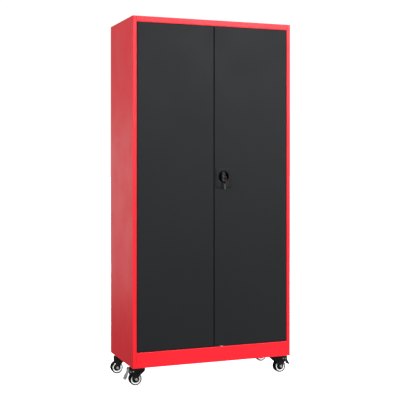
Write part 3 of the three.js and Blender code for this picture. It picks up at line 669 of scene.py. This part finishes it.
def tyre(corner, wheel, way):
    tread = wheel.z / MM
    half = [
        (26.3, 15.4), (26.6, 16.1), (27, 16.4), (27.5, 16.2), (28, 16.7), (30, 17), (31.2, 16.6),
        (tread - 0.35, 15.4), (tread - 0.1, 13.8), (tread, 11),
        (tread, 0.7), (tread - 0.5, 0.5), (tread - 0.5, 0),
    ]
    put(
        loose(turned(both_sides(half), WHEEL_FACETS)), f"{corner}_tread", RUBBER,
        f"{corner}_wheel", at(wheel, way), [f"{corner}_tyre"], WHEEL_SMOOTH,
    )


def rim(corner, wheel, way):
    half = [
        (18.8, 12.6), (19.2, 13.2), (20, 13.4), (22.8, 14.5), (23.2, 14.4),
        (23.5, 14.5), (23.8, 15.2), (24.2, 15.6), (25.4, 15.6), (26, 15.2),
    ]
    put(
        loose(turned(both_sides(half), WHEEL_FACETS)), f"{corner}_rim_ring", NYLON,
        f"{corner}_wheel", at(wheel, way), [f"{corner}_wheel_rim"], WHEEL_SMOOTH,
    )


def hub(corner, wheel, way):
    half = [
        (4.3, 18.7), (8.4, 18.7), (9, 18.3), (9.4, 17.1), (10, 16.6), (14.6, 16.1),
        (15, 15.6), (15.4, 15.6), (15.8, 16.2), (18, 16), (18.5, 15.4),
    ]
    web = [(9, 15.9), (15.2, 15.5), (15.2, 16.5), (9, 17.2)]
    webs = 6
    shells = [turned(both_sides(half), 72)]
    for side in (-1, 1):
        for step in range(webs):
            shape = prism([(radius, side * along) for radius, along in web], -0.7, 0.7, "Z")
            shells.append(spun(shape, 2 * pi * step / webs, "Y"))
    put(
        loose(gathered(*shells)), f"{corner}_hub_core", HUB_BLACK,
        f"{corner}_wheel", at(wheel, way), [f"{corner}_wheel_hub"], WHEEL_SMOOTH,
    )


def pedal_skin():
    """The foot plate: a pressed sheet with turned-in edges, ribbed near its wider tip.

    Starts and runs are shares of its length, or of its half width for the fold.
    """
    top = Vector((59.5, 0, -12.5))
    tip = Vector((83.6, 0, -65.6))
    length = (tip - top).length
    along = (tip - top).normalized()
    outward = Vector((-along.z, 0, along.x))
    rows, columns = 72, 20
    half_at_top, corner = 16, 7
    spread, spread_start, spread_run = 6, 0.42, 0.22
    ribs, rib_height, rib_start, rib_run, rib_reach = 5, 0.8, 0.55, 0.38, 0.7
    fold_depth, fold_start, fold_run = 2.6, 0.8, 0.2
    curl_height, curl_start, curl_run = 2.2, 0.88, 0.12
    shape = bmesh.new()
    grid = []
    for row in range(rows + 1):
        t = row / rows
        widening = min(max((t - spread_start) / spread_run, 0), 1)
        half = half_at_top + spread * widening * widening * (3 - 2 * widening)
        end = min(t, 1 - t) * length
        if end < corner:
            half -= corner - (corner ** 2 - (corner - end) ** 2) ** 0.5
        rib = 0
        if rib_start < t < rib_start + rib_run:
            rib = rib_height * max(0, sin((t - rib_start) / rib_run * ribs * 2 * pi))
        line = []
        for column in range(columns + 1):
            share = 2 * column / columns - 1
            edge = max(0, (abs(share) - fold_start) / fold_run)
            fold = fold_depth * edge * edge * (1 if 0.06 < t < 0.94 else 0.4)
            raised = rib * (1 if abs(share) < rib_reach else 0)
            curl = curl_height * max(0, (t - curl_start) / curl_run) ** 2
            point = top + along * (t * length)
            point += outward * (raised - fold - 1 + curl)
            line.append(shape.verts.new((point.x, share * half, point.z)))
        grid.append(line)
    for lower, upper in zip(grid, grid[1:]):
        for column in range(columns):
            shape.faces.new((lower[column], lower[column + 1], upper[column + 1], upper[column]))
    return shape


def pedal(corner, axis, axle_z, way):
    """Foot plate, two ears on the pivot pin and a shoe that follows the tread."""
    plate = loose(pedal_skin())
    tool = plate.modifiers.new("gauge", "SOLIDIFY")
    tool.thickness = 2
    tool.offset = 0
    settled(plate)
    ear = rounded(
        [(57, -13, 2), (62, -17, 2), (67, -33, 2), (53, -33.5, 6), (46.6, -27, 6), (50, -20, 5)],
    )
    shells = []
    for y in (-12, 9):
        side = loose(prism(ear, y, y + 3))
        carve(side, moved(disc(2.7, -20, 20, 24), PIVOT[0], 0, PIVOT[1]))
        shells.append(taken(bevelled(side, 0.4, 2)))
    shoe = arc(TRAIL, axle_z, SHOE_RADIUS, 42, 54, 3)
    shoe += [(PIVOT[0] - 4, PIVOT[1] - 3), (PIVOT[0] + 3, PIVOT[1] - 5)]
    shells.append(taken(bevelled(loose(prism(shoe, -11, 11)), 0.6, 2)))
    put(
        loose(gathered(taken(plate), *shells)), f"{corner}_foot_pedal", PEDAL_GREY,
        f"{corner}_pedal", at(axis, way), [f"{corner}_brake_pedal"], WHEEL_SMOOTH,
    )


for corner in CORNERS:
    swivel, axle_centre, trailing = caster_places(corner)
    axle_height = (axle_centre.z - BODY_UNDERSIDE) / MM
    mount_plate(corner, swivel, trailing)
    mount_bolts(corner, swivel, trailing)
    fork(corner, swivel, axle_height, trailing)
    swivel_seal(corner, swivel, trailing)
    axle_bolt(corner, axle_centre, trailing)
    tyre(corner, axle_centre, trailing)
    rim(corner, axle_centre, trailing)
    hub(corner, axle_centre, trailing)
    if corner in BRAKED:
        cross_pins(corner, swivel, trailing)
        pedal(corner, swivel, axle_height, trailing)


# Front frame's trim, drawn about the middle of the frame's front face
SHADE_STRIP_HALF_LENGTH = 400


def frame_trim():
    """A near-black strip on the ledge under the doors, painted shade for the dark gap below them,
    and the header's turned lower edge.
    """
    kick_low, kick_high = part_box("kick_panel")
    header_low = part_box("top_panel")[0]
    # The strip is near-black painted shade: it covers the part of the ledge that the light reaches
    # through the gap under the doors.
    strip = rounded(rectangle(1.2, -0.1, 6.2, 0.9), 0.4)
    put(
        loose(prism(strip, -SHADE_STRIP_HALF_LENGTH, SHADE_STRIP_HALF_LENGTH, "X")), "sill_shade_strip", PAINTED_SHADE_BLACK,
        "cabinet", at(Vector((0, kick_low.y, kick_high.z))),
    )
    opening = (kick_high.x - kick_low.x) / 2 / MM
    edge = rounded(rectangle(0.1, -1.5, 0.9, 0.2), 0.3)
    put(
        loose(prism(edge, -opening, opening, "X")), "header_edge", RED,
        "cabinet", at(Vector((0, header_low.y, header_low.z))),
    )


frame_trim()


# Lock, drawn about its axis at the doors' front plane, +Y into the cabinet
LOCK_FACETS = 72
LOCK_SMOOTH = 38
CUP_RADIUS = 28
CUP_DEPTH = 14
PLATE_FACE = -3.5
PLATE_BACK = -0.3
PLATE_HOLE = 30
SHADOW_LINE_PROUD = 1.2
GRIP_HALF_WIDTH = 10
GRIP_REACH = 17
GRIP_BORE = 6.8
GRIP_MARK = 19
BARREL_RADIUS = 6.5
BARREL_PROUD = 4.3
KEYWAY_HALF_WIDTH = 1.3
KEYWAY_HALF_HEIGHT = 4.3
KEYWAY_DEPTH = 14


def lock_housing():
    """The plate with its hole, the cup that fills the hole, and a near-black rim behind the plate
    that shows past its edge as a painted shadow line.
    """
    low, high = [(corner - LOCK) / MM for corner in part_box("lock_housing")]
    plate = rounded(rectangle(low.x, low.z, high.x, high.z), 9, 8)
    made = loose(prism(plate, PLATE_FACE, PLATE_BACK))
    carve(made, disc(PLATE_HOLE, -6, 5, LOCK_FACETS))
    bevelled(made, 0.9, 3, 60)
    put(
        made, "lock_plate", PLATE_BLACK,
        "right_door", at(LOCK), ["lock_housing"], LOCK_SMOOTH,
    )
    # The cup is far darker than the plate: painted shade of the recess.
    cup = [
        (7.3, CUP_DEPTH), (26.8, CUP_DEPTH), (27.6, 13.6), (CUP_RADIUS, 12.6), (CUP_RADIUS, -3.4),
        (28.3, -4), (28.8, -4.2), (29.8, -4.1), (30.4, -3.7), (30.6, -3.2), (30.6, -0.5),
        (30.3, -0.4), (30.3, 17), (11, 17), (11, 19), (7.3, 19),
    ]
    put(
        loose(turned(cup, LOCK_FACETS)), "lock_cup", RECESS_SHADE_BLACK,
        "right_door", at(LOCK), ["lock_housing"], LOCK_SMOOTH,
    )
    # A near-black rim behind the plate, standing out past its edge: a painted shadow line round the
    # plate.
    skirt = rectangle(
        low.x - SHADOW_LINE_PROUD, low.z - SHADOW_LINE_PROUD, high.x + SHADOW_LINE_PROUD, high.z + SHADOW_LINE_PROUD,
    )
    made = loose(prism(rounded(skirt, 10, 8), -0.28, -0.02))
    carve(made, disc(PLATE_HOLE + SHADOW_LINE_PROUD, -6, 5, LOCK_FACETS))
    put(made, "plate_shadow_line", PAINTED_SHADE_BLACK, "right_door", at(LOCK))


def turn_handle():
    """A disc at the bottom of the cup, and the upright grip with a collar round the barrel."""
    flange = [
        (GRIP_BORE, 13.7), (GRIP_BORE, 10.6), (23.6, 10.6), (24.6, 10.2),
        (26.7, 10.2), (27.4, 10.9), (27.4, 13.7),
    ]
    # The disc takes the cup's darker black: painted shade at the bottom of the recess.
    put(
        loose(turned(flange, LOCK_FACETS)), "turn_disc", RECESS_SHADE_BLACK,
        "handle", at(LOCK), ["turn_handle"], LOCK_SMOOTH,
    )
    straight = GRIP_REACH - 0.5
    grip = [
        (-GRIP_HALF_WIDTH, straight), (-GRIP_HALF_WIDTH, -straight),
        *arc(0, -GRIP_REACH, GRIP_HALF_WIDTH, 180, 360, 16)[1:-1],
        (GRIP_HALF_WIDTH, -straight), (GRIP_HALF_WIDTH, straight),
        *arc(0, GRIP_REACH, GRIP_HALF_WIDTH, 0, 180, 16)[1:-1],
    ]
    made = loose(prism(grip, PLATE_FACE, 10.7))
    bevelled(made, 1.6, 4, 60)
    collar = [
        (GRIP_BORE, 13.5), (8.8, 13.5), (8.8, -3.4), (8.3, -3.8), (7.2, -3.8), (GRIP_BORE, -3.4),
    ]
    unite(made, turned(collar, 48))
    carve(made, disc(GRIP_BORE, -8, 12.9, 40))
    put(
        made, "turn_grip", LOCK_BLACK,
        "handle", at(LOCK), ["turn_handle"], LOCK_SMOOTH,
    )


def handle_mark():
    """A red dot on the disc, beside the grip."""
    dot = turned([(0, 10.7), (2.3, 10.7), (2.5, 10.2), (2.2, 9.9), (0, 9.8)], 24)
    put(
        loose(moved(dot, GRIP_MARK, 0)), "turn_grip_mark", MARK_RED,
        "handle", at(LOCK),
    )


def key_cylinder():
    barrel = [
        (0, 12.7), (BARREL_RADIUS, 12.7), (BARREL_RADIUS, -3.7),
        (5.9, -BARREL_PROUD), (0, -BARREL_PROUD),
    ]
    made = loose(turned(barrel, 48))
    keyway = rectangle(
        -KEYWAY_HALF_WIDTH, -KEYWAY_HALF_HEIGHT, KEYWAY_HALF_WIDTH, KEYWAY_HALF_HEIGHT,
    )
    carve(made, prism(keyway, -9, KEYWAY_DEPTH - BARREL_PROUD))
    put(
        made, "key_barrel", KEY_NICKEL,
        "key", at(LOCK), ["key_cylinder"], LOCK_SMOOTH,
    )


# Keys, drawn along +Y from the far end of the bow and lying in the upright plane
BOW_LENGTH = 18
BOW_HEIGHT = 22
BOW_HALF_THICKNESS = 1.5
BOW_STANDOFF = 1.5
BOW_HOLE = 4.5
BOW_HOLE_RADIUS = 2.8
BOW_FACETS = 48
BLADE_HALF_HEIGHT = 4
BLADE_CLEARANCE = 0.6
SPARE_REACH = 30
CUT_DEPTHS = (1.4, 0.5, 1.7, 0.9, 1.2, 0.4, 1.6, 1.0)
RING_RADIUS = 11
RING_WINDS = 1.94


def key_bow():
    """An oval moulding with a hole near its far end."""
    turns = [2 * pi * step / BOW_FACETS for step in range(BOW_FACETS)]
    half_length = BOW_LENGTH / 2
    outline = [(half_length - half_length * cos(turn), BOW_HEIGHT / 2 * sin(turn)) for turn in turns]
    made = loose(prism(outline, -BOW_HALF_THICKNESS, BOW_HALF_THICKNESS, "X"))
    carve(made, prism(arc(BOW_HOLE, 0, BOW_HOLE_RADIUS, 0, 360, 24)[:-1], -5, 5, "X"))
    return bevelled(made, 0.8, 3, 50)


def key_blade(reach):
    """Steel blade with cuts along one edge and a milled groove down each side."""
    start = BOW_LENGTH - BOW_HOLE
    end = BOW_LENGTH + reach
    pitch = reach / (len(CUT_DEPTHS) + 1)
    edge = -BLADE_HALF_HEIGHT
    outline = [(start, BLADE_HALF_HEIGHT), (start, edge), (BOW_LENGTH, edge)]
    for step, depth in enumerate(CUT_DEPTHS):
        cut = BOW_LENGTH + (step + 0.6) * pitch
        outline += [(cut + 0.25 * pitch, edge + depth), (cut + 0.6 * pitch, edge + depth)]
    outline += [(end - 0.6, -2.4), (end, -1.2), (end, 2.2), (end - 1.8, BLADE_HALF_HEIGHT)]
    made = loose(prism(outline, -1, 1, "X"))
    groove = rectangle(BOW_LENGTH + 1, 0.4, end + 3, 1.8)
    for x in (-1.3, 1.3):
        carve(made, prism(groove, x - 0.7, x + 0.7, "X"))
    return bevelled(made, 0.15, 1, 40)


def hanging():
    """Turns a key drawn along +Y so that it hangs from its hole."""
    return Matrix.Rotation(-pi / 2, 4, "X") @ Matrix.Translation((0, -BOW_HOLE, 0))


def keys():
    """The key in the lock, and the spare key that hangs from the ring."""
    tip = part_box("inserted_key")[0].y
    held = at(Vector((LOCK.x, tip, LOCK.z)))
    reach = BOW_STANDOFF + KEYWAY_DEPTH - BLADE_CLEARANCE
    put(
        key_bow(), "key_bow", LOCK_BLACK, "key", held, ["inserted_key"],
        LOCK_SMOOTH,
    )
    put(key_blade(reach), "key_blade", KEY_NICKEL, "key", held)
    ring_y = tip + BOW_HOLE * MM
    hole_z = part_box("spare_key")[1].z - BOW_HOLE * MM
    hung = at(Vector((LOCK.x, ring_y, hole_z))) @ hanging()
    put(
        key_bow(), "spare_bow", LOCK_BLACK, "spare", hung, ["spare_key"],
        LOCK_SMOOTH,
    )
    put(key_blade(SPARE_REACH), "spare_blade", KEY_NICKEL, "spare", hung)


def key_ring():
    """Split ring: flat wire wound almost twice."""
    steps, sides = 150, 10
    wire_out, wire_across = 0.6, 0.46
    shape = bmesh.new()
    rings = []
    for step in range(steps + 1):
        turn = 2 * pi * RING_WINDS * step / steps + pi / 3
        shift = 0.5 * (2 * step / steps - 1)
        spoke = Vector((0, 0, RING_RADIUS)) @ Matrix.Rotation(turn, 3, "Y")
        middle = Vector((0, shift, 0)) + spoke
        out = spoke.normalized()
        ring = []
        for side in range(sides):
            angle = 2 * pi * side / sides
            across = Vector((0, wire_across * sin(angle), 0))
            ring.append(shape.verts.new(middle + out * (wire_out * cos(angle)) + across))
        rings.append(ring)
    for low, high in zip(rings, rings[1:]):
        for side in range(sides):
            after = (side + 1) % sides
            shape.faces.new((low[side], low[after], high[after], high[side]))
    shape.faces.new(rings[0])
    shape.faces.new(rings[-1])
    place = at(centre("key_ring"))
    put(loose(shape), "split_ring", KEY_NICKEL, "ring", place, ["key_ring"], 50)


lock_housing()
turn_handle()
handle_mark()
key_cylinder()
keys()
key_ring()


# Floor, light and background, in metres
FLOOR_REACH = 60
WHITE_TO_CAMERA = 1.05
# Height of the direction, from -1 straight down to 1 straight up, and the room's light there
ROOM = ((-1.0, 0.06), (1.0, 0.6), (-0.3, 0.03), (-0.06, 0.3), (0.04, 0.46), (0.2, 0.28))


def make_floor():
    """A pale floor that shows to the camera and takes shadows, but throws no light back up."""
    shape = bmesh.new()
    ends = rectangle(-FLOOR_REACH, -FLOOR_REACH, FLOOR_REACH, FLOOR_REACH)
    shape.faces.new([shape.verts.new((x, y, 0)) for x, y in ends])
    floor = loose(shape, "floor")
    made = Finish(
        "pale_floor",
        Roughness=0.9, Specular_IOR_Level=0.1, Emission_Color=(1, 1, 1, 1), Emission_Strength=0.86,
    )
    cloud = made.ranged(made.noise(0.7), 0, 1)
    made.colour(made.blend(cloud, (0.92, 0.92, 0.92, 1), (0.95, 0.95, 0.95, 1)))
    floor.data.materials.append(made.material)
    floor.visible_diffuse = False
    floor.visible_glossy = False
    floor.visible_shadow = False


def lamp(name, data, place, aim, gloss):
    """Stands a light in its place, turned to the point that it lights."""
    made = bpy.data.objects.new(name, data)
    made.location = place
    made.rotation_euler = (Vector(aim) - Vector(place)).to_track_quat("-Z", "Y").to_euler()
    made.visible_glossy = gloss
    bpy.context.scene.collection.objects.link(made)
    return made


def softbox(name, place, aim, size, watts, gloss=False):
    data = bpy.data.lights.new(name, "AREA")
    data.shape = "RECTANGLE"
    data.size, data.size_y = size
    data.energy = watts
    made = lamp(name, data, place, aim, gloss)
    made.visible_camera = False


def spot(name, place, aim, spread, watts):
    data = bpy.data.lights.new(name, "SPOT")
    data.energy = watts
    data.spot_size = radians(spread)
    data.spot_blend = 0.4
    data.shadow_soft_size = 0.012
    lamp(name, data, place, aim, False)


def make_world():
    """White to the camera; for light, a room with a pale ceiling and a bright band at eye level."""
    world = bpy.data.worlds.new("studio")
    bpy.context.scene.world = world
    world.use_nodes = True
    tree = world.node_tree
    tree.nodes.clear()
    add = tree.nodes.new
    link = tree.links.new
    direction = add("ShaderNodeSeparateXYZ")
    link(add("ShaderNodeTexCoord").outputs["Generated"], direction.inputs[0])
    spread = add("ShaderNodeMapRange")
    spread.inputs["From Min"].default_value = -1
    link(direction.outputs["Z"], spread.inputs["Value"])
    ramp = add("ShaderNodeValToRGB")
    link(spread.outputs["Result"], ramp.inputs["Fac"])
    elements = ramp.color_ramp.elements
    stops = [elements[0], elements[1]] + [elements.new(0.5) for _ in ROOM[2:]]
    for (height, light), stop in zip(ROOM, stops):
        stop.position = (height + 1) / 2
        stop.color = (light, light, light, 1)
    around = add("ShaderNodeBackground")
    link(ramp.outputs["Color"], around.inputs["Color"])
    seen = add("ShaderNodeBackground")
    seen.inputs["Color"].default_value = (1, 1, 1, 1)
    seen.inputs["Strength"].default_value = WHITE_TO_CAMERA
    mix = add("ShaderNodeMixShader")
    link(add("ShaderNodeLightPath").outputs["Is Camera Ray"], mix.inputs[0])
    link(around.outputs[0], mix.inputs[1])
    link(seen.outputs[0], mix.inputs[2])
    link(mix.outputs[0], add("ShaderNodeOutputWorld").inputs["Surface"])


make_floor()
make_world()
softbox("key", (2.4, -4.6, 2.6), (0, 0, 0.9), (3.4, 3.4), 360)
softbox("sheen", (2.2, -4.6, 3.4), (0, 0, 1.5), (2.6, 2.4), 36, gloss=True)
softbox("left_fill", (-5.0, -1.5, 1.8), (0, 0, 1.0), (3, 3), 90)
spot("wheel_fill", (-2.2, -2.6, 0.12), (-0.448, 0.14, 0.04), 1.7, 420)
softbox("side_sheen", (-1.9, 4.7, 0.6), (-0.45, 0, 0.9), (2.6, 1.9), 6, gloss=True)
softbox("back_fill", (1.0, 5.0, 3.0), (0, 0, 1.0), (3, 3), 220)
softbox("top_fill", (0, 0, 4.6), (0, 0, 0), (4, 4), 120)
bpy.context.scene.view_settings.view_transform = "Standard"
